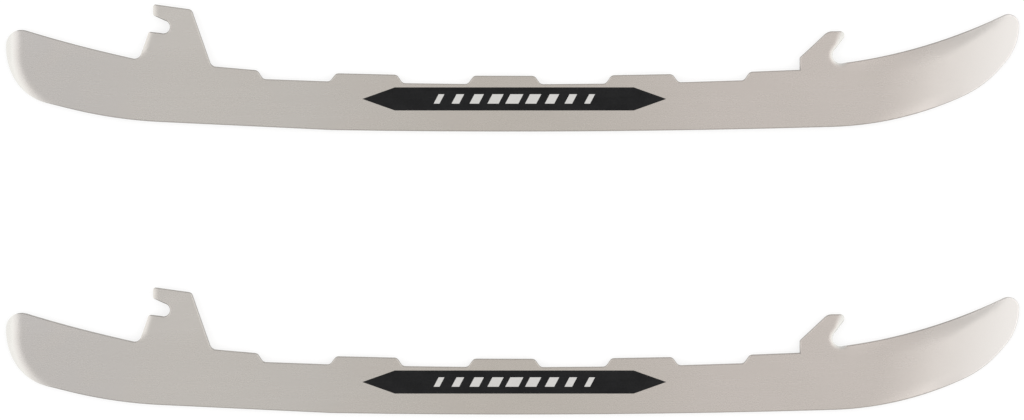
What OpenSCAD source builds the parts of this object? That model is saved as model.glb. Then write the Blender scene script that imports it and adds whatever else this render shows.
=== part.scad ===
// Pair of ice hockey skate runners: two loose steel blades that lie side by side on a flat surface.
// Each blade is drawn in its own plane, with X from the heel end to the toe and Y up from the
// lowest point of the running edge, and is then laid flat with its thickness along Z.

/* [Runner] */
// Overall length from the heel end to the toe
runner_length = 280; // [262:1:306]
// Thickness of the steel plate
plate_thickness = 3; // [2.6:0.1:3.6]
// Height from the lowest point of the running edge to the valleys between the seats
body_height = 13.1; // [11.5:0.1:15]
// Radius of the rockered part of the running edge
rocker_radius = 3048; // [2400:1:4000]
// Distance of the rocker's lowest point from the heel end
rocker_low_x = 140; // [130:0.5:150]
// Distance between the two runners as they lie, from one running edge to the other
pair_spacing = 78.2; // [60:0.1:120]

/* [Heel end] */
// Distance from the heel end to the place where the straight heel pitch meets the rocker
pitch_x = 90; // [70:0.1:95]
// Angle of the straight heel pitch
pitch_angle = 2.7; // [1.8:0.01:3.6]
// Distance from the heel end to the start of the heel's upward sweep
heel_sweep_x = 29.6; // [26:0.1:34]
// Angle of the heel's upward sweep
heel_sweep_angle = 14.2; // [11:0.1:17]
// Radius that leads into the heel's sweep
heel_sweep_radius = 130; // [110:1:170]
// Distance from the heel end to the heel's knuckle
heel_knuckle_x = 4.7; // [4:0.1:6]
// Angle of the heel's face above the knuckle
heel_knuckle_angle = 64.5; // [60:0.5:72]
// Radius of the heel's knuckle
heel_knuckle_radius = 14.8; // [10:0.1:17]
// Radius from the heel's face into its upright end
heel_end_radius = 18.6; // [10:0.1:20]
// Height of the heel's upper corner before it is rounded
heel_height = 29.6; // [27:0.1:32]
// Radius of the heel's upper corner
heel_corner_radius = 4.5; // [2:0.1:5]
// Dip of the heel's upper edge below a straight line
heel_edge_dip = 0.66; // [0.2:0.01:1.2]
// Radius of the dip in the heel's upper edge
heel_edge_radius = 350; // [200:5:450]

/* [Heel bevel] */
// Width of the heel's bevel at the heel end
heel_bevel_width = 3.3; // [2:0.1:4.5]
// Depth of the heel's bevel at the heel end, on each face
heel_bevel_depth = 1.25; // [0.6:0.05:1.4]
// Radius of the line where the heel's bevel leaves the face
heel_bevel_radius = 17.5; // [15:0.1:19]
// Distance of the bevel's centre below the heel's upper corner
heel_bevel_drop = 7; // [5:0.1:8]

/* [Heel tab] */
// Distance from the heel end to the end of the tab's lip
tab_x = 40.7; // [38:0.1:44]
// Height of the tab's upper corner above the valleys
tab_rise = 22.1; // [20:0.1:25]
// Length of the tab's top
tab_length = 10.6; // [9:0.1:13]
// Slope of the tab's top, down towards the toe
tab_slope = 7.9; // [4:0.1:12]
// Lean of the tab's two sides from upright
tab_flare = 19.3; // [14:0.1:24]
// Height of the tab's heel-side root above the valleys
tab_root_rise = 6.7; // [5.5:0.1:8]
// Distance from the tab's root on the heel side to the end of the lip
tab_root_setback = 3.9; // [3:0.1:4.6]
// Radius of the lip's corners
lip_radius = 0.7; // [0.3:0.05:1]
// Radius of the tab's upper corner on the toe side
tab_corner_radius = 1.3; // [0.5:0.1:2.5]
// Radius of the tab's roots
tab_root_radius = 1.9; // [0.8:0.1:3]

/* [Lock notch] */
// Radius of the notch's round end
notch_radius = 1.8; // [1.5:0.05:2.1]
// Distance of the notch's centre from the end of the lip
notch_reach = 2.85; // [2:0.05:4]
// Distance of the notch's centre below the tab's upper corner
notch_drop = 6.3; // [5.8:0.05:7]
// Slope of the notch's lower side
notch_lower_angle = 6.3; // [3:0.1:9]
// Slope of the notch's upper side
notch_upper_angle = 24.7; // [20:0.1:29]

/* [Seats] */
// Number of seats between the two shoulders
seat_count = 3; // [1:2:3]
// Distance between neighbouring seats
seat_pitch = 38.1; // [34:0.1:42]
// Distance of the middle seat ahead of the middle between the tab and the hook
seat_offset = -0.4; // [-2:0.1:2]
// Length of a seat's top
seat_length = 16.8; // [12:0.1:19]
// Height of a seat above the valleys
seat_rise = 2.3; // [1.6:0.1:3]
// Angle of a seat's ramps
seat_ramp_angle = 54; // [35:1:60]
// Radius of the line that the seats follow
seat_line_radius = 1800; // [1300:10:3000]
// Distance of that line's lowest point ahead of the middle seat
seat_line_offset = 4.5; // [0:0.1:8]
// Radius of the corners of seats and shoulders
seat_corner_radius = 1.4; // [0.4:0.1:1.6]
// Height of the rear shoulder at the tab, above the valleys
rear_shoulder_rise = 4.95; // [4.2:0.05:5.6]
// Slope of the rear shoulder
rear_shoulder_slope = 5; // [2:0.1:7]
// Length of the rear shoulder
rear_shoulder_length = 12.7; // [8:0.1:14]
// Length of the ramp at the end of the rear shoulder
rear_ramp_length = 1.6; // [1:0.1:5]
// Length of the front shoulder
front_shoulder_length = 13.8; // [11:0.1:17]

/* [Toe hook] */
// Distance of the hook's upright back from the toe end
hook_x = 60.6; // [56:0.1:65]
// Height of the hook's upright back above the front shoulder
hook_back_height = 3.4; // [2:0.1:4.5]
// Slope of the hook's back
hook_back_angle = 43; // [38:0.5:48]
// Height of the hook's top above the valleys
hook_rise = 14.6; // [13.8:0.1:16]
// Distance from the hook's back to its nose
hook_reach = 12.25; // [11.5:0.05:13]
// Slope of the nose's underside
nose_angle = 53; // [47:0.5:58]
// Radius of the nose's corners
nose_radius = 1; // [0.4:0.1:1.1]
// Radius between the hook's back and its top
hook_crown_radius = 3; // [1:0.1:4]
// Radius of the throat
throat_radius = 2.3; // [2:0.05:2.5]
// Distance of the throat's centre from the hook's back
throat_reach = 11.35; // [10.8:0.05:11.8]
// Height of the throat's centre above the valleys
throat_rise = 8; // [7.3:0.05:8.4]
// Width of the lead-in bevel round the throat
hook_bevel_width = 1.1; // [0.5:0.05:1.4]
// Depth of the lead-in bevel round the throat, on each face
hook_bevel_depth = 0.4; // [0.2:0.05:0.6]
// Angle by which the bevel widens along the nose
nose_bevel_spread = 10; // [6:0.5:14]

/* [Toe end] */
// Distance from the toe end to the place where the rocker ends
toe_sweep_start = 54; // [50:0.1:58]
// Distance from the toe end to the corner of the toe's upward sweep
toe_sweep_x = 33; // [30:0.1:36]
// Angle of the toe's upward sweep
toe_sweep_angle = 24.5; // [22:0.1:27]
// Radius that leads into the toe's sweep
toe_sweep_radius = 93; // [60:1:110]
// Distance from the toe end to the toe's knuckle
toe_knuckle_x = 9.4; // [8:0.1:11]
// Angle of the toe's front below its upright end
toe_knuckle_angle = 49.5; // [42:0.5:52]
// Radius of the toe's knuckle
toe_knuckle_radius = 30.8; // [15:0.1:35]
// Radius from the toe's front into its upright end
toe_front_radius = 15.6; // [8:0.1:16]
// Height of the toe's upper corner before it is rounded
toe_height = 34.2; // [32:0.1:36]
// Radius of the toe's tip
toe_tip_radius = 3; // [2:0.1:4.5]
// Slope of the toe's upper edge at the throat
toe_edge_start_angle = 7.85; // [5:0.05:11]
// Slope of the toe's upper edge at the tip
toe_edge_end_angle = 25.5; // [22:0.1:29]
// Radius of the toe's upper edge
toe_edge_radius = 148; // [100:1:170]

/* [Toe taper] */
// Length over which the toe thins, measured back from its foremost point
toe_taper_length = 36; // [30:0.5:40]
// Amount that each face falls away over that length
toe_taper_drop = 1; // [0.3:0.05:1.2]
// Direction of the line where the taper starts, from the length of the runner
toe_taper_angle = 81; // [70:1:90]

/* [Print] */
// Length of the print field from point to point
print_length = 84; // [60:1:100]
// Height of the print field
print_height = 6.4; // [4:0.1:8]
// Length of each pointed end of the print field
print_point = 9; // [4:0.5:16]
// Distance of the print field's middle ahead of the middle seat
print_offset = 2.8; // [-6:0.1:6]
// Distance from the print field's upper edge to the valleys
print_margin = 0.9; // [0.5:0.1:2]
// Depth of the shallow recess that holds the print
print_depth = 0.1; // [0.06:0.01:0.2]
// Number of light bars in the print field
bar_count = 9; // [3:2:11]
// Distance between neighbouring bars
bar_pitch = 5.2; // [4.6:0.1:6]
// Length of the middle bar, along the runner
bar_length = 3.6; // [2.8:0.1:4]
// Amount by which each bar is shorter than its neighbour nearer the middle
bar_step = 0.5; // [0.2:0.05:0.5]
// Height of the bars
bar_height = 2.6; // [1.5:0.1:3.5]
// Lean of the bars from upright, towards the toe
bar_lean = 28; // [0:1:40]

/* [Hidden] */

steel_colour = [0.73, 0.71, 0.69];
ink_colour = [0.14, 0.14, 0.145];
bar_colour = [0.82, 0.81, 0.8];

// Largest distance between an arc of the outline and the chords that draw it
chord_sag = 0.01;
// Share of an edge that the roundings at its two ends may take up together
edge_share = 0.98;
// Amount by which the drawn notch and throat are smaller than the round cuts that finish them
ream = 0.05;
// Height of the taper's roll above the face that it runs out of
taper_lift = 0.01;
// Distance by which cuts reach past the faces that they break through
reach = 1;
// Sides of the round cuts
round_cut = 128;
// Sides of the toe's large roll
roll_cut = 512;

// Points and lines in the blade's plane
function along(p, angle, distance) = p + distance * [cos(angle), sin(angle)];
function meet(p, p_angle, q, q_angle) =
    let (gap = q - p)
    along(p, p_angle, (gap.x * sin(q_angle) - gap.y * cos(q_angle)) / sin(q_angle - p_angle));
function arc_steps(radius, sweep) = max(2, ceil(abs(sweep) / (2 * acos(1 - chord_sag / radius))));
function arc(centre, radius, from, to) =
    let (steps = arc_steps(radius, to - from))
    [for (i = [0:steps]) along(centre, from + (to - from) * i / steps, radius)];

// Rounding of an outline: each corner is [x, y, radius], and a radius is reduced where its edges are too short
function plain(corner) = [corner[0], corner[1]];
function before(corners, i) = plain(corners[(i + len(corners) - 1) % len(corners)]);
function after(corners, i) = plain(corners[(i + 1) % len(corners)]);
function turn(corners, i) =
    let (u = plain(corners[i]) - before(corners, i), v = after(corners, i) - plain(corners[i]))
    atan2(cross(u, v), u * v);
function cut_back(corners, i) = corners[i][2] * tan(abs(turn(corners, i)) / 2);
function share(corners, i, j) =
    let (room = norm(plain(corners[i]) - plain(corners[j])), wanted = cut_back(corners, i) + cut_back(corners, j))
    wanted == 0 ? 1 : min(1, edge_share * room / wanted);
function rounded_corner(corners, i) =
    let (
        count = len(corners),
        fit = min(share(corners, i, (i + count - 1) % count), share(corners, i, (i + 1) % count)),
        radius = fit * corners[i][2],
        sweep = turn(corners, i),
        point = plain(corners[i]),
        step_in = point - before(corners, i),
        heading = atan2(step_in.y, step_in.x),
        side = sign(sweep),
        start = along(point, heading, -fit * cut_back(corners, i)),
        centre = along(start, heading + side * 90, radius)
    )
    radius == 0 || sweep == 0 ? [point] : arc(centre, radius, heading - side * 90, heading - side * 90 + sweep);
function rounded(corners) = [for (i = [0:len(corners) - 1]) each rounded_corner(corners, i)];
function sharp(points) = [for (p = points) [p.x, p.y, 0]];

// Running edge
toe_sweep_start_x = runner_length - toe_sweep_start;
function rocker_angle(x) = asin((x - rocker_low_x) / rocker_radius);
running_edge = arc([rocker_low_x, rocker_radius], rocker_radius,
                   rocker_angle(pitch_x) - 90, rocker_angle(toe_sweep_start_x) - 90);

// Heel end
heel_sweep = along(running_edge[0], 180 - pitch_angle, (pitch_x - heel_sweep_x) / cos(pitch_angle));
heel_knuckle = along(heel_sweep, 180 - heel_sweep_angle, (heel_sweep_x - heel_knuckle_x) / cos(heel_sweep_angle));
heel_face = along(heel_knuckle, 180 - heel_knuckle_angle, heel_knuckle_x / cos(heel_knuckle_angle));
tab_root = [tab_x - tab_root_setback, body_height + tab_root_rise];
heel_top = [0, heel_height];
heel_edge_middle = (heel_top + tab_root) / 2 - [0, heel_edge_dip];
heel_corners = [
    [heel_edge_middle.x, heel_edge_middle.y, heel_edge_radius],
    [heel_top.x, heel_top.y, heel_corner_radius],
    [heel_face.x, heel_face.y, heel_end_radius],
    [heel_knuckle.x, heel_knuckle.y, heel_knuckle_radius],
    [heel_sweep.x, heel_sweep.y, heel_sweep_radius]
];

// Toe end
rocker_end = running_edge[len(running_edge) - 1];
rocker_end_angle = rocker_angle(toe_sweep_start_x);
toe_sweep = along(rocker_end, rocker_end_angle, (toe_sweep_start - toe_sweep_x) / cos(rocker_end_angle));
toe_knuckle = along(toe_sweep, toe_sweep_angle, (toe_sweep_x - toe_knuckle_x) / cos(toe_sweep_angle));
toe_front = along(toe_knuckle, toe_knuckle_angle, toe_knuckle_x / cos(toe_knuckle_angle));
toe_tip = [runner_length, toe_height];
hook_back_x = runner_length - hook_x;
throat_centre = [hook_back_x + throat_reach, body_height + throat_rise];
drawn_throat_radius = throat_radius - ream;
throat_foot = along(throat_centre, toe_edge_start_angle - 90, drawn_throat_radius);
toe_edge_middle = meet(throat_foot, toe_edge_start_angle, toe_tip, toe_edge_end_angle);
toe_corners = [
    [toe_sweep.x, toe_sweep.y, toe_sweep_radius],
    [toe_knuckle.x, toe_knuckle.y, toe_knuckle_radius],
    [toe_front.x, toe_front.y, toe_front_radius],
    [toe_tip.x, toe_tip.y, toe_tip_radius],
    [toe_edge_middle.x, toe_edge_middle.y, toe_edge_radius]
];

// Line of the seats: a shallow arc
tab_top = [tab_x, body_height + tab_rise];
tab_top_end = [tab_x + tab_length, tab_top.y - tab_length * tan(tab_slope)];
rear_shoulder_y = body_height + rear_shoulder_rise;
rear_shoulder_x = tab_top_end.x + (tab_top_end.y - rear_shoulder_y) * tan(tab_flare);
seat_middle_x = (rear_shoulder_x + hook_back_x) / 2 + seat_offset;
seat_line_centre = [seat_middle_x + seat_line_offset, body_height + seat_line_radius];
function seat_line(x, rise) =
    [x, seat_line_centre.y - sqrt(pow(seat_line_radius - rise, 2) - pow(x - seat_line_centre.x, 2))];
function seat_turn(i) = (seat_pitch * i - seat_line_offset) / seat_line_radius * 180 / PI;
function seat_point(i, offset, rise) =
    along(seat_line_centre, seat_turn(i) - 90, seat_line_radius - rise)
    + offset * [cos(seat_turn(i)), sin(seat_turn(i))];

// Hook
seat_ramp_run = seat_rise / tan(seat_ramp_angle);
front_shoulder_x = hook_back_x - front_shoulder_length;
front_shoulder = seat_line(front_shoulder_x, seat_rise);
front_ramp_foot = seat_line(front_shoulder_x - seat_ramp_run, 0);
hook_root = seat_line(hook_back_x, seat_rise);
hook_top_y = body_height + hook_rise;
hook_back_top = hook_root + [0, hook_back_height];
hook_crown = meet(hook_back_top, hook_back_angle, [hook_back_x, hook_top_y], 0);
nose_x = hook_back_x + hook_reach;
throat_top = along(throat_centre, nose_angle + 90, drawn_throat_radius);
nose_under = meet(throat_top, nose_angle, [nose_x, hook_top_y], 90);
hook_corners = concat(
    sharp(arc(throat_centre, drawn_throat_radius, toe_edge_start_angle + 270, nose_angle + 90)),
    [
        [nose_under.x, nose_under.y, nose_radius],
        [nose_x, hook_top_y, nose_radius],
        [hook_crown.x, hook_crown.y, hook_crown_radius],
        [hook_back_top.x, hook_back_top.y, lip_radius],
        [hook_root.x, hook_root.y, 0],
        [front_shoulder.x, front_shoulder.y, seat_corner_radius],
        [front_ramp_foot.x, front_ramp_foot.y, seat_corner_radius]
    ]
);

// Seats and rear shoulder
last_seat = (seat_count - 1) / 2;
function seat_corner(i, offset, rise) =
    let (p = seat_point(i, offset, rise))
    [p.x, p.y, seat_corner_radius];
seat_corners = [
    for (i = [last_seat:-1:-last_seat])
        each [
            seat_corner(i, seat_length / 2 + seat_ramp_run, 0),
            seat_corner(i, seat_length / 2, seat_rise),
            seat_corner(i, -seat_length / 2, seat_rise),
            seat_corner(i, -seat_length / 2 - seat_ramp_run, 0)
        ]
];
rear_shoulder_end_x = rear_shoulder_x + rear_shoulder_length;
rear_shoulder_end_y = rear_shoulder_y - rear_shoulder_length * tan(rear_shoulder_slope);
rear_ramp_foot = seat_line(rear_shoulder_end_x + rear_ramp_length, 0);

// Tab and notch
notch_centre = [tab_x + notch_reach, tab_top.y - notch_drop];
drawn_notch_radius = notch_radius - ream;
notch_upper = along(notch_centre, 90 - notch_upper_angle, drawn_notch_radius);
notch_lower = along(notch_centre, -90 - notch_lower_angle, drawn_notch_radius);
lip_under = meet(notch_upper, -notch_upper_angle, tab_top, 90);
tab_foot = meet(notch_lower, -notch_lower_angle, tab_root, 90 - tab_flare);
tab_corners = concat(
    [
        [rear_ramp_foot.x, rear_ramp_foot.y, seat_corner_radius],
        [rear_shoulder_end_x, rear_shoulder_end_y, seat_corner_radius],
        [rear_shoulder_x, rear_shoulder_y, tab_root_radius],
        [tab_top_end.x, tab_top_end.y, tab_corner_radius],
        [tab_top.x, tab_top.y, lip_radius],
        [lip_under.x, lip_under.y, lip_radius]
    ],
    sharp(arc(notch_centre, drawn_notch_radius, 90 - notch_upper_angle, -90 - notch_lower_angle)),
    [
        [tab_foot.x, tab_foot.y, lip_radius],
        [tab_root.x, tab_root.y, tab_root_radius]
    ]
);

// The blade's whole outline, anticlockwise from the middle of the heel's upper edge
outline = rounded(concat(heel_corners, sharp(running_edge), toe_corners, hook_corners, seat_corners, tab_corners));
outline_low = min([for (p = outline) p.y]);
outline_high = max([for (p = outline) p.y]);

// Places of the two runners: their common box is centred on the origin
middle_y = (outline_low + outline_high) / 2;
left_place = [-runner_length / 2, pair_spacing / 2 - middle_y, 0];
right_place = [-runner_length / 2, -pair_spacing / 2 - middle_y, 0];

// Print
print_centre = [seat_middle_x + print_offset, body_height - print_margin - print_height / 2];
print_outline = [
    [-print_length / 2, 0],
    [-print_length / 2 + print_point, -print_height / 2],
    [print_length / 2 - print_point, -print_height / 2],
    [print_length / 2, 0],
    [print_length / 2 - print_point, print_height / 2],
    [-print_length / 2 + print_point, print_height / 2]
];
last_bar = (bar_count - 1) / 2;

module on_both_faces() {
    children();
    translate([0, 0, plate_thickness]) mirror([0, 0, 1]) children();
}

// Plate with its true round notch and throat
module plate() {
    linear_extrude(plate_thickness)
        difference() {
            polygon(outline);
            translate(notch_centre) circle(notch_radius, $fn = round_cut);
            translate(throat_centre) circle(throat_radius, $fn = round_cut);
        }
}

// Conical bevel that thins both faces towards the heel end
module heel_bevel_cut() {
    slope = heel_bevel_width / heel_bevel_depth;
    centre = [heel_bevel_width + heel_bevel_radius, heel_height - heel_bevel_drop];
    zone_end = centre.x - heel_bevel_radius / 3;
    difference() {
        translate([-reach, heel_knuckle.y - heel_bevel_radius, -reach])
            cube([zone_end + reach, heel_height + heel_bevel_radius, plate_thickness + 2 * reach]);
        on_both_faces()
            translate([centre.x, centre.y, -2 * reach])
                cylinder(plate_thickness / 2 + 2 * reach, heel_bevel_radius - 2 * reach * slope,
                         heel_bevel_radius + plate_thickness / 2 * slope, $fn = round_cut);
    }
}

// Roll that lets the upper face of the toe fall away, along a slanting line
module toe_taper_cut() {
    across = [sin(toe_taper_angle), -cos(toe_taper_angle)];
    foremost = max([for (p = outline) p * across]);
    roll_radius = pow(toe_taper_length / (sqrt(toe_taper_drop + taper_lift) - sqrt(taper_lift)), 2) / 2;
    roll_back = sqrt(2 * roll_radius * taper_lift);
    start = foremost - toe_taper_length;
    half_width = runner_length / 4;
    rotate([0, 0, toe_taper_angle - 90])
        translate([start, toe_tip * [cos(toe_taper_angle), sin(toe_taper_angle)], plate_thickness])
            difference() {
                translate([-reach, -half_width, -plate_thickness / 2])
                    cube([toe_taper_length + 2 * reach, 2 * half_width, plate_thickness / 2 + reach]);
                translate([-roll_back, 0, taper_lift - roll_radius])
                    rotate([90, 0, 0])
                        cylinder(3 * half_width, r = roll_radius, center = true, $fn = roll_cut);
            }
}

// Lead-in bevel of the upper face: a cone round the throat and a flat along the nose
module hook_bevel_cut() {
    slope = hook_bevel_width / hook_bevel_depth;
    face_radius = throat_radius + hook_bevel_width;
    flat_start = along(throat_centre, nose_angle + 90, face_radius);
    overlap = face_radius * sin(nose_bevel_spread);
    translate([throat_centre.x, throat_centre.y, plate_thickness - hook_bevel_depth - ream])
        cylinder(hook_bevel_depth + ream + reach, throat_radius - ream * slope, face_radius + reach * slope,
                 $fn = round_cut);
    translate([flat_start.x, flat_start.y, plate_thickness])
        rotate([0, 0, nose_angle + nose_bevel_spread])
            rotate([atan(hook_bevel_depth / hook_bevel_width), 0, 0])
                translate([-overlap, -hook_reach / 2, 0])
                    cube([hook_rise, hook_reach / 2, plate_thickness]);
}

module print_shape() {
    translate(print_centre) polygon(print_outline);
}

module bar_shapes() {
    lean = bar_height * tan(bar_lean) / 2;
    for (i = [-last_bar:last_bar]) {
        half = (bar_length - abs(i) * bar_step) / 2;
        translate(print_centre + [i * bar_pitch, 0])
            polygon([
                [-half - lean, -bar_height / 2], [half - lean, -bar_height / 2],
                [half + lean, bar_height / 2], [-half + lean, bar_height / 2]
            ]);
    }
}

module upper_layer() {
    translate([0, 0, plate_thickness - print_depth]) linear_extrude(print_depth) children();
}

module lower_layer() {
    linear_extrude(print_depth) children();
}

module runner() {
    color(steel_colour)
        difference() {
            plate();
            heel_bevel_cut();
            on_both_faces() toe_taper_cut();
            on_both_faces() hook_bevel_cut();
            on_both_faces()
                translate([0, 0, -reach]) linear_extrude(reach + print_depth) print_shape();
        }
}

module print_field() {
    color(ink_colour)
        difference() {
            print_shape();
            bar_shapes();
        }
}

module print_bars() {
    color(bar_colour) bar_shapes();
}

module left_runner() { translate(left_place) runner(); }
module left_front_print() { translate(left_place) upper_layer() print_field(); }
module left_front_print_bars() { translate(left_place) upper_layer() print_bars(); }
module left_back_print() { translate(left_place) lower_layer() print_field(); }
module left_back_print_bars() { translate(left_place) lower_layer() print_bars(); }
module right_runner() { translate(right_place) runner(); }
module right_front_print() { translate(right_place) upper_layer() print_field(); }
module right_front_print_bars() { translate(right_place) upper_layer() print_bars(); }
module right_back_print() { translate(right_place) lower_layer() print_field(); }
module right_back_print_bars() { translate(right_place) lower_layer() print_bars(); }

left_runner();
left_front_print();
left_front_print_bars();
left_back_print();
left_back_print_bars();
right_runner();
right_front_print();
right_front_print_bars();
right_back_print();
right_back_print_bars();
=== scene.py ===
"""Looks of a pair of loose ice hockey skate runners: satin ground steel with a dark print."""

import math

import bmesh
import bpy
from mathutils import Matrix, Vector


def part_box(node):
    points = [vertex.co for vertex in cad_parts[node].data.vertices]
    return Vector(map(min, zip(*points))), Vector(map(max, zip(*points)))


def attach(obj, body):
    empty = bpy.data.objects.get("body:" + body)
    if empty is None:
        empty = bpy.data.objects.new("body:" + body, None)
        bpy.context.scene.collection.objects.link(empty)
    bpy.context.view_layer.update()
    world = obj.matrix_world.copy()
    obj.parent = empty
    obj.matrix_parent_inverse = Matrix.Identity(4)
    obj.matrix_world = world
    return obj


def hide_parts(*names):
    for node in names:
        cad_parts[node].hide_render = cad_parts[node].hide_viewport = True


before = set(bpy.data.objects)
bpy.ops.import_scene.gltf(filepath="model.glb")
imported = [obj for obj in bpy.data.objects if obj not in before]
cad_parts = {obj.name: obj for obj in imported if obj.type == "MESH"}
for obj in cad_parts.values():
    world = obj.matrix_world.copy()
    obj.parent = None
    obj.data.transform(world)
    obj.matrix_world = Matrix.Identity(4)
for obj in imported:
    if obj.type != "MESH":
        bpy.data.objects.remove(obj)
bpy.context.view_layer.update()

MM = 0.001
SIDES = ("left", "right")

# A blade's own frame starts at its heel end, at the lowest point of its running edge and on its lower face
PLATE_LOW, PLATE_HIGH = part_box("left_runner")
THICKNESS = PLATE_HIGH.z - PLATE_LOW.z

# Directions along the blade towards its toe, and across it from its running edge to its upper edge
ALONG = Vector((1, 0, 0))
UPWARD = Vector((0, 1, 0))

# Points closer than this are one point
MERGE = 0.001 * MM
# Faces that differ by less than this are one flat face
FLAT_ANGLE = math.radians(0.02)
# Faces that meet at more than this keep a crisp edge
CRISP_ANGLE = math.radians(40)
# Faces whose normal rises or falls by less than this are walls
WALL_RISE = 0.5

# The broken edges round the plate, which fade where a bevel has ground it, and are gone at this depth
ARRIS = 0.3 * MM
ARRIS_STEPS = 3
ARRIS_GONE = 0.05 * MM

# Steel that is ground away by this much shows fresh metal, and sooner at the toe hook's finer bevel
GROUND_DEPTH = 0.3 * MM
HOOK_GROUND_DEPTH = 0.08 * MM

# Bevel at the heel end: it starts at this distance from a point in the heel and from the upright line
# above it, with a gentle roll, and gets steeper towards the end
HEEL_BEVEL_CENTRE = Vector((19.06, 21.8)) * MM
HEEL_BEVEL_RADIUS = 14.75 * MM
HEEL_ROLL = 2.4 * MM
HEEL_ROLL_FALL = 0.164
HEEL_STEEP_START = 2.0 * MM
HEEL_STEEP_SOFT = 0.8 * MM
HEEL_STEEP_FALL = 0.286
HEEL_ZONE_LOW = Vector((0.0, 0.0))
HEEL_ZONE_END = 16.0 * MM
HEEL_STEP = 0.6 * MM

# Lead-in bevel at the toe hook: a gentle roll round the throat, which fades towards the toe and widens
# along the nose, and a chamfer at the edge, which fades at the bottom of the throat
THROAT_CENTRE = Vector((230.75, 21.1)) * MM
THROAT_RADIUS = 2.3 * MM
NOSE_ANGLE = math.radians(53)
NOSE_ALONG = Vector((math.cos(NOSE_ANGLE), math.sin(NOSE_ANGLE)))
NOSE_BACK = Vector((-NOSE_ALONG.y, NOSE_ALONG.x))
HOOK_ROLL_END = 2.7 * MM
HOOK_ROLL = 0.9 * MM
HOOK_ROLL_FALL = 0.135
HOOK_ROLL_FADE = (231.0 * MM, 233.5 * MM)
NOSE_WIDENS_FROM = 1.4 * MM
NOSE_WIDENS = 0.42
HOOK_CHAMFER = 0.35 * MM
HOOK_CHAMFER_SOFT = 0.2 * MM
HOOK_CHAMFER_FALL = 0.4
HOOK_CHAMFER_RISE = (19.2 * MM, 21.0 * MM)
HOOK_ZONE_LOW = Vector((226.0, 16.9)) * MM
HOOK_ZONE_END = 235.0 * MM
HOOK_STEP = 0.35 * MM

# Rolled edges of the heel tab, each along a line through a point, facing outwards
LIP_END = Vector((40.7, 33.6)) * MM
LIP_FACING = Vector((-1.0, 0.0))
FOOT_EDGE = Vector((39.0, 25.0)) * MM
FOOT_FACING = Vector((-0.957, 0.289))
LIP_ROLL = 1.5 * MM
FOOT_ROLL = 1.0 * MM
TAB_ROLL_FALL = 0.12
NOTCH_HEIGHT = 29.5 * MM
TAB_ROOT_FADE = (20.2 * MM, 23.0 * MM)
TAB_ZONE_LOW = Vector((36.0, 20.0)) * MM
TAB_ZONE_END = 43.0 * MM
TAB_STEP = 0.45 * MM

# Taper of the toe: both faces roll away past a slanting line, and then fall evenly to the tip
TOE_ANGLE = math.radians(81)
TOE_ACROSS = Vector((math.sin(TOE_ANGLE), -math.cos(TOE_ANGLE)))
TOE_LENGTH = 36.0 * MM
TOE_DROP = 0.96 * MM
TOE_ROLL = 15.0 * MM
TOE_STEP = 0.7 * MM
TOE_LEAD = 10.0 * MM

# Crown of the toe: its faces round off towards its upper edge, an arc, in a band that narrows to the tip
CROWN_CENTRE = Vector((211.4, 165.6)) * MM
CROWN_RADIUS = 148.0 * MM
CROWN_WIDTH = 5.0 * MM
CROWN_TIP_WIDTH = 2.8 * MM
CROWN_NARROWS = (256.0 * MM, 272.0 * MM)
CROWN_DEPTH = 0.58 * MM
CROWN_STARTS = (229.0 * MM, 252.0 * MM)
CROWN_ENDS = (263.0 * MM, 277.0 * MM)
# Beyond that arc stands the hook, and the crown is gone at this distance from it
CROWN_HOOK_FADE = 3.0 * MM

# The toe's faces round off towards its sweep too, the arc that leads from the running edge to the tip
SWEEP_CENTRE = Vector((226.35, 91.4)) * MM
SWEEP_RADIUS = 90.15 * MM
SWEEP_WIDTH = 3.6 * MM
SWEEP_DEPTH = 0.2 * MM
SWEEP_STARTS = (236.0 * MM, 252.0 * MM)
SWEEP_ENDS = (253.0 * MM, 265.0 * MM)

# How much painted shade darkens the broken edge along the body, where it faces up or down and where it faces
# the ends, and round the toe, where only the upper edge gets the full painted shade
EDGE_SHADE_SHARE = 0.6
END_EDGE_SHADE_SHARE = 0.95
END_FACING = (0.1, 0.7)
TOE_EDGE_SHADE_SHARE = 0.35
TOE_EDGE_RISE = 10.0 * MM


class Number:
    """A number in a material's nodes; arithmetic on it adds Math nodes."""

    def __init__(self, finish, socket):
        self.finish = finish
        self.socket = socket

    def maths(self, operation, first, second):
        return self.finish.node("ShaderNodeMath", {"operation": operation}, {0: first, 1: second})

    def __add__(self, other):
        return self.maths("ADD", self, other)

    def __radd__(self, other):
        return self.maths("ADD", other, self)

    def __sub__(self, other):
        return self.maths("SUBTRACT", self, other)

    def __rsub__(self, other):
        return self.maths("SUBTRACT", other, self)

    def __mul__(self, other):
        return self.maths("MULTIPLY", self, other)

    def __rmul__(self, other):
        return self.maths("MULTIPLY", other, self)


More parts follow.
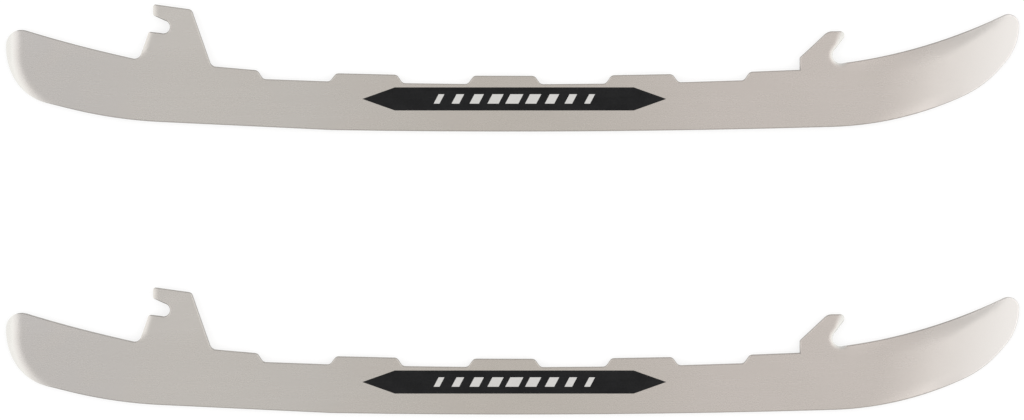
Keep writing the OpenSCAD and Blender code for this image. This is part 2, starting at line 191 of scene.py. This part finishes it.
class Finish:
    """A material in the making, on Object coordinates that start at a place on the object."""

    def __init__(self, name, place):
        self.material = bpy.data.materials.new(name)
        self.material.use_nodes = True
        self.tree = self.material.node_tree
        self.shader = self.tree.nodes["Principled BSDF"]
        there = self.node("ShaderNodeTexCoord", {}, {}, "Object")
        self.where = self.node("ShaderNodeMapping", {}, {"Vector": there, "Location": -place})

    def feed(self, socket, value):
        if isinstance(value, Number):
            self.tree.links.new(value.socket, socket)
        else:
            socket.default_value = value

    def node(self, kind, settings, inputs, output=0):
        made = self.tree.nodes.new(kind)
        for name, value in settings.items():
            setattr(made, name, value)
        for key, value in inputs.items():
            self.feed(made.inputs[key], value)
        return Number(self, made.outputs[output])

    def stretched(self, factors):
        """The place on the object, with each axis multiplied, so that a pattern shrinks along it."""
        return self.node("ShaderNodeVectorMath", {"operation": "MULTIPLY"}, {0: self.where, 1: factors})

    def noise(self, waves, detail=2.0, roughness=0.5):
        """Soft noise from about -0.5 to 0.5, with the given number of waves per metre on each axis."""
        sockets = {"Vector": self.stretched(waves), "Scale": 1.0, "Detail": detail, "Roughness": roughness}
        return self.node("ShaderNodeTexNoise", {}, sockets, "Fac") - 0.5

    def range(self, value, low, high):
        """A smooth step from 0 at low to 1 at high."""
        sockets = {"Value": value, "From Min": low, "From Max": high}
        return self.node("ShaderNodeMapRange", {"interpolation_type": "SMOOTHSTEP"}, sockets)

    def mix(self, factor, first, second):
        """A colour between two colours."""
        settings = {"data_type": "RGBA", "clamp_factor": True}
        return self.node("ShaderNodeMix", settings, {0: factor, 6: first, 7: second}, 2)

    def distance_along(self, direction):
        """How far a point lies along a direction in the plate's plane."""
        return self.node("ShaderNodeVectorMath", {"operation": "DOT_PRODUCT"},
                         {0: self.where, 1: (direction.x, direction.y, 0.0)}, "Value")

    def mark(self, name):
        """A number from 0 to 1 that the mesh itself carries."""
        return self.node("ShaderNodeAttribute", {"attribute_name": name}, {}, "Fac")

    def bump(self, height, depth):
        """A normal for a height that goes from about 0 to 1 over a depth in metres."""
        return self.node("ShaderNodeBump", {}, {"Height": height, "Distance": depth, "Strength": 1.0})

    def set(self, **sockets):
        for name, value in sockets.items():
            self.feed(self.shader.inputs[name.replace("_", " ")], value)
        return self.material


# Colours of the steel, linear; heel, rear, middle and front are painted reflection, lighter or darker along
# the blade where it reflects more or less light
STEEL_HEEL = (0.527, 0.503, 0.484, 1.0)
STEEL_REAR = (0.570, 0.540, 0.505, 1.0)
STEEL_MIDDLE = (0.543, 0.501, 0.452, 1.0)
STEEL_FRONT = (0.612, 0.556, 0.518, 1.0)
STEEL_SHADE = (0.470, 0.438, 0.405, 1.0)
# A painted highlight on the toe
STEEL_PAINTED_HIGHLIGHT = (0.772, 0.747, 0.721, 1.0)
STEEL_GROUND = (0.590, 0.580, 0.553, 1.0)
# The painted shade of the broken edges
STEEL_EDGE_SHADE = (0.360, 0.340, 0.318, 1.0)

# The stretches over which one colour of the painted reflection leads to the next, from the heel end, and the
# length of the polished toe with its painted highlight, which starts where its taper does
HEEL_TO_REAR = (7.0 * MM, 56.0 * MM)
REAR_TO_MIDDLE = (70.0 * MM, 140.0 * MM)
MIDDLE_TO_FRONT = (140.0 * MM, 210.0 * MM)
POLISH_AND_HIGHLIGHT_LENGTH = 46.8 * MM

# The heights between which a painted highlight brightens the heel tab's face, and the stretch past it where
# that ends
TAB_BRIGHTENS = (18.0 * MM, 27.0 * MM)
TAB_ENDS = (56.0 * MM, 70.0 * MM)

# Patterns of the steel: waves per metre along, across and through the plate
GRAIN = {"waves": (60.0, 5200.0, 5200.0), "detail": 3.0, "roughness": 0.6}
STREAKS = {"waves": (16.0, 900.0, 900.0)}
CLOUDS = {"waves": (160.0, 220.0, 220.0), "detail": 3.0}
TINT = {"waves": (90.0, 120.0, 120.0), "detail": 1.0}

# How far plain steel is shaded, how far each pattern changes that, and how far a painted highlight on the
# tab's face takes it away
PLAIN_SHADE = 0.2
GRAIN_SHADE = 0.1
STREAK_SHADE = 0.12
CLOUD_SHADE = 0.35
TAB_HIGHLIGHT = 0.22

# How far the tint shifts the colours, and how strongly the painted shade of the broken edge darkens them
TINT_SHIFT = 0.5
EDGE_SHADE_STRENGTH = 0.8

# Roughness of the steel, how far grain and clouds change it, and how much less it is on the polished toe
STEEL_ROUGHNESS = 0.27
UNEVEN_ROUGHNESS = 0.04
POLISH_ROUGHNESS = 0.03

# Depth of the grinding marks, and what grain and streaks have in them
GRIND_DEPTH = 0.0006 * MM
GRAIN_HEIGHT = 0.7
STREAK_HEIGHT = 0.3


def satin_steel(side):
    """Stainless plate, ground lengthwise to a satin face; its toe, polished thin and less rough, gets a
    painted highlight.
    """
    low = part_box(f"{side}_runner")[0]
    steel = Finish(f"{side}_satin_steel", low)
    grain = steel.noise(**GRAIN)
    streaks = steel.noise(**STREAKS)
    clouds = steel.noise(**CLOUDS)
    tint = steel.noise(**TINT) * TINT_SHIFT
    ahead = steel.distance_along(ALONG)
    start = toe_start(side)
    polish_and_highlight = steel.range(steel.distance_along(TOE_ACROSS), start, start + POLISH_AND_HIGHLIGHT_LENGTH)
    # Painted highlight: the heel tab's face is lighter from a height upwards, fading out past the tab
    tab = steel.range(steel.distance_along(UPWARD), *TAB_BRIGHTENS) * (1 - steel.range(ahead, *TAB_ENDS))
    # Painted reflection: the colour grows lighter and darker along the blade, from the heel end to the front
    heel = steel.mix(steel.range(ahead, *HEEL_TO_REAR), STEEL_HEEL, STEEL_REAR)
    rear = steel.mix(steel.range(ahead, *REAR_TO_MIDDLE) + tint, heel, STEEL_MIDDLE)
    face = steel.mix(steel.range(ahead, *MIDDLE_TO_FRONT) + tint, rear, STEEL_FRONT)
    uneven = grain * GRAIN_SHADE + streaks * STREAK_SHADE + clouds * CLOUD_SHADE
    worked = steel.mix(uneven + PLAIN_SHADE - tab * TAB_HIGHLIGHT, face, STEEL_SHADE)
    # Painted highlight: the toe's colour brightens towards its tip, while its lower roughness is the real
    # polish
    toe = steel.mix(polish_and_highlight, worked, STEEL_PAINTED_HIGHLIGHT)
    fresh = steel.mix(steel.mark("ground"), toe, STEEL_GROUND)
    # Painted shade: the broken edges darken by the edge mark that the mesh carries
    base = steel.mix(steel.mark("edge") * EDGE_SHADE_STRENGTH, fresh, STEEL_EDGE_SHADE)
    roughness = STEEL_ROUGHNESS + (grain + clouds) * UNEVEN_ROUGHNESS - polish_and_highlight * POLISH_ROUGHNESS
    marks = steel.bump(grain * GRAIN_HEIGHT + streaks * STREAK_HEIGHT, GRIND_DEPTH)
    return steel.set(Base_Color=base, Roughness=roughness, Metallic=1.0, Normal=marks)


# Colours of the print, linear: the dark field and its light bars, each fresh and worn
INK_BLACK = (0.0050, 0.0050, 0.0055, 1.0)
INK_WORN = (0.0180, 0.0180, 0.0185, 1.0)
BAR_LIGHT = (0.600, 0.588, 0.570, 1.0)
BAR_SHADE = (0.500, 0.490, 0.475, 1.0)

# Patterns of the ink: waves per metre along, across and through the plate
INK_GRAIN = {"waves": (60.0, 5200.0, 5200.0)}
INK_SPECKS = {"waves": (2600.0, 2600.0, 2600.0)}
INK_CLOUDS = {"waves": (150.0, 240.0, 240.0)}

# How worn plain ink is, and how far each pattern changes that
PLAIN_WEAR = 0.25
GRAIN_WEAR = 0.5
SPECK_WEAR = 0.9
CLOUD_WEAR = 0.8

# Roughness of the ink, how far its specks change it, and its gloss
INK_ROUGHNESS = 0.48
SPECK_ROUGHNESS = 0.12
INK_GLOSS = 0.12

# Depth of the ink's uneven surface, and what grain and specks each have in it
INK_DEPTH = 0.003 * MM
INK_HEIGHT = 0.5


def print_ink(name, place, deep, worn):
    """Screen-printed ink: matt, faintly mottled, with the plate's grain just showing through."""
    ink = Finish(name, place)
    grain = ink.noise(**INK_GRAIN)
    specks = ink.noise(**INK_SPECKS)
    clouds = ink.noise(**INK_CLOUDS)
    wear = grain * GRAIN_WEAR + specks * SPECK_WEAR + clouds * CLOUD_WEAR + PLAIN_WEAR
    roughness = INK_ROUGHNESS + specks * SPECK_ROUGHNESS
    marks = ink.bump((grain + specks) * INK_HEIGHT, INK_DEPTH)
    return ink.set(Base_Color=ink.mix(wear, deep, worn), Roughness=roughness, Specular_IOR_Level=INK_GLOSS,
                   Normal=marks)


def toe_start(side):
    """How far across its slanting line the toe's taper starts, in the blade's own frame."""
    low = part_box(f"{side}_runner")[0]
    points = [vertex.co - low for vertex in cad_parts[f"{side}_runner"].data.vertices]
    return max(point.xy.dot(TOE_ACROSS) for point in points) - TOE_LENGTH


def face_height(face):
    heights = [vertex.co.z for vertex in face.verts]
    return max(heights) - min(heights)


def flat_plate(side):
    """A merged copy of the CAD plate, with its ground ends laid back onto its two faces."""
    low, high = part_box(f"{side}_runner")
    print_low, print_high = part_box(f"{side}_front_print")
    middle = (low.z + high.z) / 2
    plate = bmesh.new()
    plate.from_mesh(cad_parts[f"{side}_runner"].data)
    bmesh.ops.remove_doubles(plate, verts=plate.verts, dist=MERGE)
    for vertex in plate.verts:
        off_ends = vertex.co.x < print_low.x - MERGE or vertex.co.x > print_high.x + MERGE
        off_sides = vertex.co.y < print_low.y - MERGE or vertex.co.y > print_high.y + MERGE
        if off_ends or off_sides:
            vertex.co.z = high.z if vertex.co.z > middle else low.z
    bmesh.ops.dissolve_degenerate(plate, dist=MERGE, edges=plate.edges)
    bmesh.ops.dissolve_limit(plate, angle_limit=FLAT_ANGLE, verts=plate.verts, edges=plate.edges)
    plate.normal_update()
    return plate


def outer_edges(plate):
    """The edges between a face of the plate and a wall of its full height."""
    found = []
    for edge in plate.edges:
        walls = [face for face in edge.link_faces if abs(face.normal.z) < WALL_RISE]
        if len(walls) == 1 and face_height(walls[0]) > THICKNESS / 2:
            found.append(edge)
    return found


def face_rims(plate):
    """The edges between a face of the plate and its broken edge."""
    rims = []
    for edge in plate.edges:
        heights = [face_height(face) for face in edge.link_faces]
        flat = abs(edge.verts[0].co.z - edge.verts[1].co.z) < MERGE
        if flat and len(heights) == 2 and min(heights) < MERGE < max(heights):
            rims.append(edge)
    return rims


def slice_zone(plate, low, inside, across, places):
    """Cuts the faces inside a zone along planes square to a direction, at places in the blade's own frame."""
    for place in places:
        faces = [face for face in plate.faces if inside(face.calc_center_median() - low)]
        edges = {edge for face in faces for edge in face.edges}
        points = {vertex for face in faces for vertex in face.verts}
        bmesh.ops.bisect_plane(plate, geom=[*faces, *edges, *points], dist=MERGE,
                               plane_co=low + across * place, plane_no=across)


def steps(first, last, step):
    """Evenly spread places from first to last, no further apart than a step."""
    count = math.ceil((last - first) / step)
    return [first + (last - first) * i / count for i in range(count + 1)]


def everywhere(point):
    return True


def in_heel(point):
    return point.x < HEEL_ZONE_END


def in_hook(point):
    return HOOK_ZONE_LOW.x < point.x < HOOK_ZONE_END and point.y > HOOK_ZONE_LOW.y


def in_tab(point):
    return TAB_ZONE_LOW.x < point.x < TAB_ZONE_END and point.y > TAB_ZONE_LOW.y


def slice_box(plate, low, high, inside, zone_low, zone_end, step):
    """Cuts a zone that reaches the plate's upper edge into a fine grid."""

    def between_ends(point):
        return zone_low.x < point.x < zone_end

    columns = steps(zone_low.x, zone_end, step)
    rows = steps(zone_low.y, high.y - low.y, step)
    slice_zone(plate, low, everywhere, ALONG, [columns[0], columns[-1]])
    slice_zone(plate, low, between_ends, UPWARD, rows[:1])
    slice_zone(plate, low, inside, ALONG, columns[1:-1])
    slice_zone(plate, low, inside, UPWARD, rows[1:-1])


def slice_toe(plate, low, high, start):
    """Cuts the toe into a fine grid, from a little before its taper starts."""
    zone_start = start - TOE_LEAD

    def in_toe(point):
        return point.xy.dot(TOE_ACROSS) > zone_start

    columns = steps(zone_start, start + TOE_LENGTH, TOE_STEP)
    rows = steps(0.0, high.y - low.y, TOE_STEP)
    slice_zone(plate, low, everywhere, TOE_ACROSS.to_3d(), columns[:1])
    slice_zone(plate, low, in_toe, TOE_ACROSS.to_3d(), columns[1:-1])
    slice_zone(plate, low, in_toe, UPWARD, rows[1:-1])


def smooth_step(value, low, high):
    share = min(max((value - low) / (high - low), 0.0), 1.0)
    return share * share * (3 - 2 * share)


def soft_fall(past, soft):
    """How far a face has fallen at a distance past a crease of that softness, for a slope of one."""
    if past <= -soft / 2:
        return 0.0
    if past >= soft / 2:
        return past
    return (past + soft / 2) ** 2 / (2 * soft)


def heel_bevel(point):
    nearest = Vector((HEEL_BEVEL_CENTRE.x, max(point.y, HEEL_BEVEL_CENTRE.y)))
    past = (point.xy - nearest).length - HEEL_BEVEL_RADIUS
    roll = HEEL_ROLL_FALL * soft_fall(past - HEEL_ROLL / 2, HEEL_ROLL)
    past_steep = past - HEEL_STEEP_START - HEEL_STEEP_SOFT / 2
    return roll + HEEL_STEEP_FALL * soft_fall(past_steep, HEEL_STEEP_SOFT)


def hook_bevel(point):
    out = point.xy - THROAT_CENTRE
    along = out.dot(NOSE_ALONG)
    on_nose = out.y > 0 and along > 0
    clear = out.dot(NOSE_BACK) if on_nose else out.length
    width = HOOK_ROLL + NOSE_WIDENS * max(along - NOSE_WIDENS_FROM, 0.0) if on_nose else HOOK_ROLL
    strength = 1.0 if on_nose else 1 - smooth_step(point.x, *HOOK_ROLL_FADE)
    roll = HOOK_ROLL_FALL * soft_fall(HOOK_ROLL_END - clear + width / 2, width) * strength
    past = THROAT_RADIUS + HOOK_CHAMFER - clear
    chamfer = HOOK_CHAMFER_FALL * soft_fall(past - HOOK_CHAMFER_SOFT / 2, HOOK_CHAMFER_SOFT)
    return roll + chamfer * smooth_step(point.y, *HOOK_CHAMFER_RISE)


def tab_bevel(point):
    above = point.y > NOTCH_HEIGHT
    edge = LIP_END if above else FOOT_EDGE
    facing = LIP_FACING if above else FOOT_FACING
    roll = LIP_ROLL if above else FOOT_ROLL
    past = (point.xy - edge).dot(facing) + roll / 2
    return TAB_ROLL_FALL * soft_fall(past, roll) * smooth_step(point.y, *TAB_ROOT_FADE)


def bevel_depth(point):
    """How deep the bevels at the heel, the tab and the hook go at a point of the blade's own frame."""
    if in_heel(point):
        return heel_bevel(point)
    if in_tab(point):
        return tab_bevel(point)
    if in_hook(point):
        return hook_bevel(point)
    return 0.0


def near_crown(point):
    """A share from 0 to 1 that rises towards the toe's upper edge."""
    inward = (point.xy - CROWN_CENTRE).length - CROWN_RADIUS
    if inward < 0:
        return max(1 + inward / CROWN_HOOK_FADE, 0.0)
    width = CROWN_WIDTH + (CROWN_TIP_WIDTH - CROWN_WIDTH) * smooth_step(point.x, *CROWN_NARROWS)
    return max(1 - inward / width, 0.0)


def crown_strength(point):
    """A share from 0 to 1 that rises where the crown starts and falls where it ends."""
    return smooth_step(point.x, *CROWN_STARTS) * (1 - smooth_step(point.x, *CROWN_ENDS))


def sweep_depth(point):
    """How far a face of the toe has rounded off near its sweep."""
    inward = SWEEP_RADIUS - (point.xy - SWEEP_CENTRE).length
    share = min(max(1 - inward / SWEEP_WIDTH, 0.0), 1.0)
    strength = smooth_step(point.x, *SWEEP_STARTS) * (1 - smooth_step(point.x, *SWEEP_ENDS))
    return SWEEP_DEPTH * share ** 2 * strength


def toe_depth(point, start):
    """How far a face of the toe has fallen away at a point of the blade's own frame."""
    past = point.xy.dot(TOE_ACROSS) - start - TOE_ROLL / 2
    taper = TOE_DROP / (TOE_LENGTH - TOE_ROLL / 2) * soft_fall(past, TOE_ROLL)
    crown = CROWN_DEPTH * near_crown(point) ** 2 * crown_strength(point)
    return taper + crown + sweep_depth(point)


def painted_edge_shade(point, outwards, start):
    """How much painted shade darkens the broken edge at a point of the blade's own frame, facing outwards."""
    facing = smooth_step(abs(outwards.xy.normalized().x), *END_FACING)
    share = EDGE_SHADE_SHARE + (END_EDGE_SHADE_SHARE - EDGE_SHADE_SHARE) * facing
    on_toe = smooth_step(point.xy.dot(TOE_ACROSS), start, start + TOE_EDGE_RISE)
    toe_share = TOE_EDGE_SHADE_SHARE + (1 - TOE_EDGE_SHADE_SHARE) * near_crown(point) * crown_strength(point)
    return share + (toe_share - share) * on_toe


def grind(plate, low, high, start):
    """Thins the plate at heel, tab, hook and toe, and marks fresh metal and the painted shade of its broken
    edge.
    """
    middle = (low.z + high.z) / 2
    ground = plate.verts.layers.float.new("ground")
    # The edge mark carries the strength of the painted shade on the broken edge
    edge = plate.verts.layers.float.new("edge")
    plate.normal_update()
    for vertex in plate.verts:
        point = vertex.co - low
        bevel = bevel_depth(point)
        fresh_depth = HOOK_GROUND_DEPTH if in_hook(point) else GROUND_DEPTH
        vertex[ground] = min(bevel / fresh_depth, 1.0)
        if MERGE < point.z < THICKNESS - MERGE:
            gone = min(bevel / ARRIS_GONE, 1.0)
            face = high.z if vertex.co.z > middle else low.z
            vertex[edge] = painted_edge_shade(point, vertex.normal, start) * (1 - gone)
            vertex.co.z += (face - vertex.co.z) * gone
        left = 1 - (bevel + toe_depth(point, start)) / (THICKNESS / 2)
        vertex.co.z = middle + (vertex.co.z - middle) * left


def shade_smooth(plate, rims):
    """Shades the plate smoothly, apart from its crisp edges and the rims of its faces."""
    for face in plate.faces:
        face.smooth = True
    plate.normal_update()
    for line in plate.edges:
        line.smooth = line.calc_face_angle(0) < CRISP_ANGLE
    for line in rims:
        line.smooth = False


def finished_object(name, shape, material):
    """An object at the origin from a bmesh, which is freed."""
    mesh = bpy.data.meshes.new(name)
    shape.to_mesh(mesh)
    shape.free()
    mesh.materials.append(material)
    made = bpy.data.objects.new(name, mesh)
    bpy.context.scene.collection.objects.link(made)
    return made


def runner(side):
    """One runner: the CAD plate with broken edges, and its heel, tab, hook and toe ground smoothly."""
    low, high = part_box(f"{side}_runner")
    start = toe_start(side)
    plate = flat_plate(side)
    bmesh.ops.bevel(plate, geom=outer_edges(plate), offset=ARRIS, offset_type="OFFSET", segments=ARRIS_STEPS,
                    profile=0.5, affect="EDGES", material=-1, clamp_overlap=False)
    slice_box(plate, low, high, in_heel, HEEL_ZONE_LOW, HEEL_ZONE_END, HEEL_STEP)
    slice_box(plate, low, high, in_tab, TAB_ZONE_LOW, TAB_ZONE_END, TAB_STEP)
    slice_box(plate, low, high, in_hook, HOOK_ZONE_LOW, HOOK_ZONE_END, HOOK_STEP)
    slice_toe(plate, low, high, start)
    rims = face_rims(plate)
    grind(plate, low, high, start)
    shade_smooth(plate, rims)
    piece = finished_object(f"{side}_runner_plate", plate, satin_steel(side))
    shading = piece.modifiers.new("even_faces", "WEIGHTED_NORMAL")
    shading.keep_sharp = True
    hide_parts(f"{side}_runner")
    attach(piece, f"{side}_blade")


def paint(node, material):
    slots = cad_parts[node].data.materials
    slots.clear()
    slots.append(material)


def prints(side):
    for face in ("front", "back"):
        node = f"{side}_{face}_print"
        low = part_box(node)[0]
        paint(node, print_ink(f"{node}_ink", low, INK_BLACK, INK_WORN))
        paint(f"{node}_bars", print_ink(f"{node}_bar_ink", low, BAR_LIGHT, BAR_SHADE))


# The room: a wide pale floor, two large soft boxes left and right of the runners, and an even surround
BLACK = (0.0, 0.0, 0.0, 1.0)
WHITE = (1.0, 1.0, 1.0, 1.0)
FLOOR_SIZE = 20.0
FLOOR_GAP = 0.05 * MM
FLOOR_PALE = (0.33, 0.33, 0.33, 1.0)
FLOOR_GLOW = (0.70, 0.70, 0.70, 1.0)
SURROUND = 0.72
SOFTBOX_DISTANCE = 6.0
SOFTBOX_INNER = math.radians(10)
SOFTBOX_OUTER = math.radians(62)
SOFTBOX_LENGTH = 8.0
SOFTBOX_GLOW = 0.86


def pale_floor():
    """Floor paint that is white to the eye and in the steel, and keeps the runners' soft shadow."""
    pale = Finish("pale_floor", Vector((0, 0, 0)))
    rays = [pale.node("ShaderNodeLightPath", {}, {}, name)
            for name in ("Is Camera Ray", "Is Glossy Ray", "Is Transmission Ray")]
    glow = pale.mix(rays[0] + rays[1] + rays[2], BLACK, FLOOR_GLOW)
    return pale.set(Base_Color=FLOOR_PALE, Roughness=1.0, Specular_IOR_Level=0.0, Emission_Color=glow,
                    Emission_Strength=1.0)


def floor():
    """A wide floor just under the runners."""
    sheet = bmesh.new()
    bmesh.ops.create_grid(sheet, x_segments=1, y_segments=1, size=FLOOR_SIZE)
    bmesh.ops.translate(sheet, verts=sheet.verts, vec=(0, 0, -FLOOR_GAP))
    plane = finished_object("floor", sheet, pale_floor())


def softbox(name, side):
    """A large soft light over one end of the runners, from near the zenith down to low above the floor."""
    half_angle = (SOFTBOX_OUTER - SOFTBOX_INNER) / 2
    lean = (SOFTBOX_OUTER + SOFTBOX_INNER) / 2
    light = bpy.data.lights.new(name, "AREA")
    light.shape = "RECTANGLE"
    light.size = 2 * SOFTBOX_DISTANCE * math.tan(half_angle)
    light.size_y = SOFTBOX_LENGTH
    light.energy = SOFTBOX_GLOW * math.pi * light.size * light.size_y
    lamp = bpy.data.objects.new(name, light)
    lamp.location = (side * SOFTBOX_DISTANCE * math.sin(lean), 0, SOFTBOX_DISTANCE * math.cos(lean))
    lamp.rotation_euler = (0, side * lean, 0)
    lamp.visible_camera = False
    bpy.context.scene.collection.objects.link(lamp)


def surround():
    world = bpy.data.worlds.new("studio")
    world.use_nodes = True
    background = world.node_tree.nodes["Background"]
    background.inputs["Color"].default_value = WHITE
    background.inputs["Strength"].default_value = SURROUND
    bpy.context.scene.world = world


# The photograph's view: straight down on the blades' faces, with the frame's width and middle measured there
FRAME_WIDTH = 282.85 * MM
FRAME_MIDDLE = Vector((-0.15, -0.13)) * MM
LENS = 200.0
SENSOR = 36.0
FAR_END = 100.0


def camera():
    view = bpy.data.cameras.new("photo_view")
    view.sensor_width = SENSOR
    view.lens = LENS
    view.clip_end = FAR_END
    eye = bpy.data.objects.new("photo_view", view)
    eye.location = (FRAME_MIDDLE.x, FRAME_MIDDLE.y, PLATE_HIGH.z + FRAME_WIDTH * LENS / SENSOR)
    bpy.context.scene.collection.objects.link(eye)
    bpy.context.scene.camera = eye


camera()
for side in SIDES:
    runner(side)
    prints(side)
floor()
softbox("left_softbox", -1)
softbox("right_softbox", 1)
surround()
bpy.context.scene.view_settings.view_transform = "Standard"
